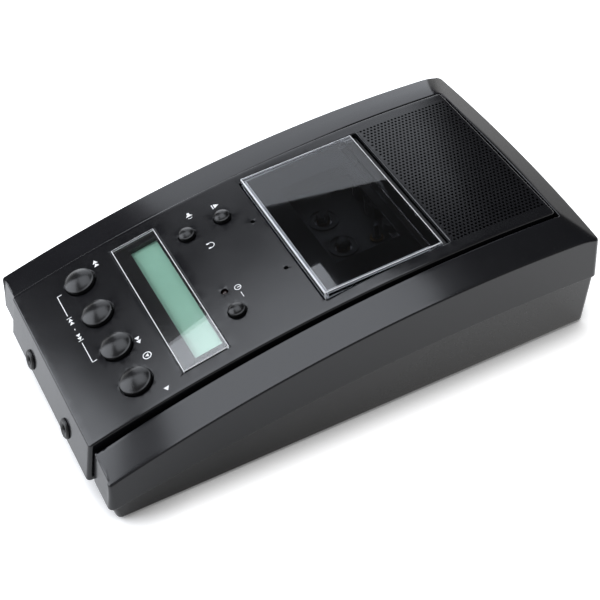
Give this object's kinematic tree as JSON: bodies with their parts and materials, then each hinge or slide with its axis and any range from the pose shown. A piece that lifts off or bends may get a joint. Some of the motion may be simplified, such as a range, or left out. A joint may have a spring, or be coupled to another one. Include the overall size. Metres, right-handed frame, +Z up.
{
  "type": "desktop dictation machine",
  "caption": "Desktop dictation machine: low arched dark case with a clear hinged tape door, round keys, display window, small buttons, loudspeaker grille and front sockets.",
  "frame": {"origin": "on the table under the middle of the case, between the feet", "axes": "+X to the user's right, +Y away from the user along the case, +Z up"},
  "size_m": [0.1348, 0.233, 0.0577],
  "materials": {
    "base_plastic": "fine-textured dark grey moulding",
    "case_plastic": "fine-textured charcoal moulding",
    "panel_plastic": "fine-textured charcoal moulding",
    "key_plastic": "satin black moulding",
    "clear_plastic": "clear glossy acrylic",
    "black_plastic": "plain black moulding",
    "display_glass": "grey-green display glass",
    "white_plastic": "plain white moulding",
    "lamp_plastic": "dark red lamp lens",
    "board": "green solder mask",
    "steel": "plain steel",
    "iron": "dark magnet steel",
    "brass": "turned brass",
    "rubber": "black rubber",
    "cone_paper": "black cone paper"
  },
  "bodies": {
    "case": {"lower_housing": "base_plastic", "upper_case": "case_plastic", "control_panel": "panel_plastic", "speaker_grille": "panel_plastic", "lcd_lens": "clear_plastic", "lcd_bezel": "black_plastic", "lcd_display": "display_glass", "lcd_holder": "white_plastic", "power_led": "lamp_plastic", "microphones": "steel", "control_board": "board", "key_switches": "black_plastic", "control_board_screws": "steel", "main_board": "board", "board_components": "black_plastic", "board_screws": "steel", "headphone_jack": "black_plastic", "accessory_jack": "black_plastic", "power_inlet": "black_plastic", "deck_tray": "black_plastic", "deck_chassis": "steel", "deck_screws": "steel", "drive_motor": "steel", "drive_belt": "rubber", "capstan_bearing": "brass", "spindle_bushes": "brass", "tape_head": "steel", "erase_head": "steel", "speaker_basket": "steel", "speaker_cone": "cone_paper", "speaker_magnet": "iron", "speaker_gasket": "rubber", "speaker_screws": "steel", "panel_screws": "steel", "case_screws": "steel", "rubber_feet": "rubber"},
    "rewind_key": {"rewind_key": "key_plastic"},
    "search_key": {"search_key": "key_plastic"},
    "forward_key": {"forward_key": "key_plastic"},
    "play_key": {"play_key": "key_plastic"},
    "source_button": {"source_button": "key_plastic"},
    "eject_button": {"eject_button": "key_plastic"},
    "power_button": {"power_button": "key_plastic"},
    "door_latch": {"door_latch": "black_plastic"},
    "cassette_door": {"door_cover": "clear_plastic", "cassette_carrier": "black_plastic", "hinge_pins": "steel"},
    "flywheel": {"flywheel": "brass", "capstan_shaft": "steel"},
    "motor_pulley": {"motor_pulley": "brass"},
    "idler_wheel": {"idler_wheel": "rubber"},
    "supply_spindle": {"supply_spindle": "key_plastic"},
    "take_up_spindle": {"take_up_spindle": "key_plastic"},
    "pinch_arm": {"pinch_arm": "steel"},
    "pinch_roller": {"pinch_roller": "rubber"}
  },
  "joints": [
    {"name": "rewind_key_press", "type": "slide", "parent": "case", "child": "rewind_key", "axis": [0, 0.2363, -0.9717], "range_m": [0, 0.0012], "stiffness_N_per_m": 400, "springref_m": -0.0005},
    {"name": "search_key_press", "type": "slide", "parent": "case", "child": "search_key", "axis": [0, 0.2363, -0.9717], "range_m": [0, 0.0012], "stiffness_N_per_m": 400, "springref_m": -0.0005},
    {"name": "forward_key_press", "type": "slide", "parent": "case", "child": "forward_key", "axis": [0, 0.2363, -0.9717], "range_m": [0, 0.0012], "stiffness_N_per_m": 400, "springref_m": -0.0005},
    {"name": "play_key_press", "type": "slide", "parent": "case", "child": "play_key", "axis": [0, 0.2363, -0.9717], "range_m": [0, 0.0012], "stiffness_N_per_m": 400, "springref_m": -0.0005},
    {"name": "source_button_press", "type": "slide", "parent": "case", "child": "source_button", "axis": [0, 0.163, -0.9866], "range_m": [0, 0.0012], "stiffness_N_per_m": 400, "springref_m": -0.0005},
    {"name": "eject_button_press", "type": "slide", "parent": "case", "child": "eject_button", "axis": [0, 0.1373, -0.9905], "range_m": [0, 0.0012], "stiffness_N_per_m": 400, "springref_m": -0.0005},
    {"name": "power_button_press", "type": "slide", "parent": "case", "child": "power_button", "axis": [0, 0.163, -0.9866], "range_m": [0, 0.0012], "stiffness_N_per_m": 400, "springref_m": -0.0005},
    {"name": "latch_slide", "type": "slide", "parent": "case", "child": "door_latch", "axis": [0, -1, 0], "range_m": [0, 0.0015]},
    {"name": "door_hinge", "type": "hinge", "parent": "case", "child": "cassette_door", "pos_m": [0, 0.048, 0.0546], "axis": [-1, 0, 0], "range_deg": [0, 70]},
    {"name": "flywheel_spin", "type": "hinge", "parent": "case", "child": "flywheel", "pos_m": [0.012, 0.037, 0.04], "axis": [0, 0, 1], "continuous": true},
    {"name": "motor_spin", "type": "hinge", "parent": "case", "child": "motor_pulley", "pos_m": [-0.025, 0.012, 0.04], "axis": [0, 0, 1], "continuous": true},
    {"name": "idler_spin", "type": "hinge", "parent": "case", "child": "idler_wheel", "pos_m": [0.01817, 0.03072, 0.04], "axis": [0, 0, 1], "continuous": true},
    {"name": "take_up_spin", "type": "hinge", "parent": "case", "child": "take_up_spindle", "pos_m": [0.0095, 0.022, 0.04], "axis": [0, 0, 1], "continuous": true},
    {"name": "supply_spin", "type": "hinge", "parent": "case", "child": "supply_spindle", "pos_m": [-0.0095, 0.022, 0.04], "axis": [0, 0, 1], "continuous": true},
    {"name": "pinch_arm_swing", "type": "hinge", "parent": "case", "child": "pinch_arm", "pos_m": [0.025, 0.0445, 0.046], "axis": [0, 0, 1], "range_deg": [0, 8.5], "stiffness_Nm_per_rad": 0.004, "springref_deg": -2.86},
    {"name": "pinch_roller_spin", "type": "hinge", "parent": "pinch_arm", "child": "pinch_roller", "pos_m": [0.012, 0.0445, 0.04], "axis": [0, 0, 1], "continuous": true}
  ],
  "couplings": [
    {"joint": "motor_spin", "follows": "flywheel_spin", "ratio": 4.3333},
    {"joint": "idler_spin", "follows": "flywheel_spin", "ratio": -0.88889},
    {"joint": "take_up_spin", "follows": "flywheel_spin", "ratio": 0.53333},
    {"joint": "latch_slide", "follows": "eject_button_press", "ratio": 1.25}
  ]
}
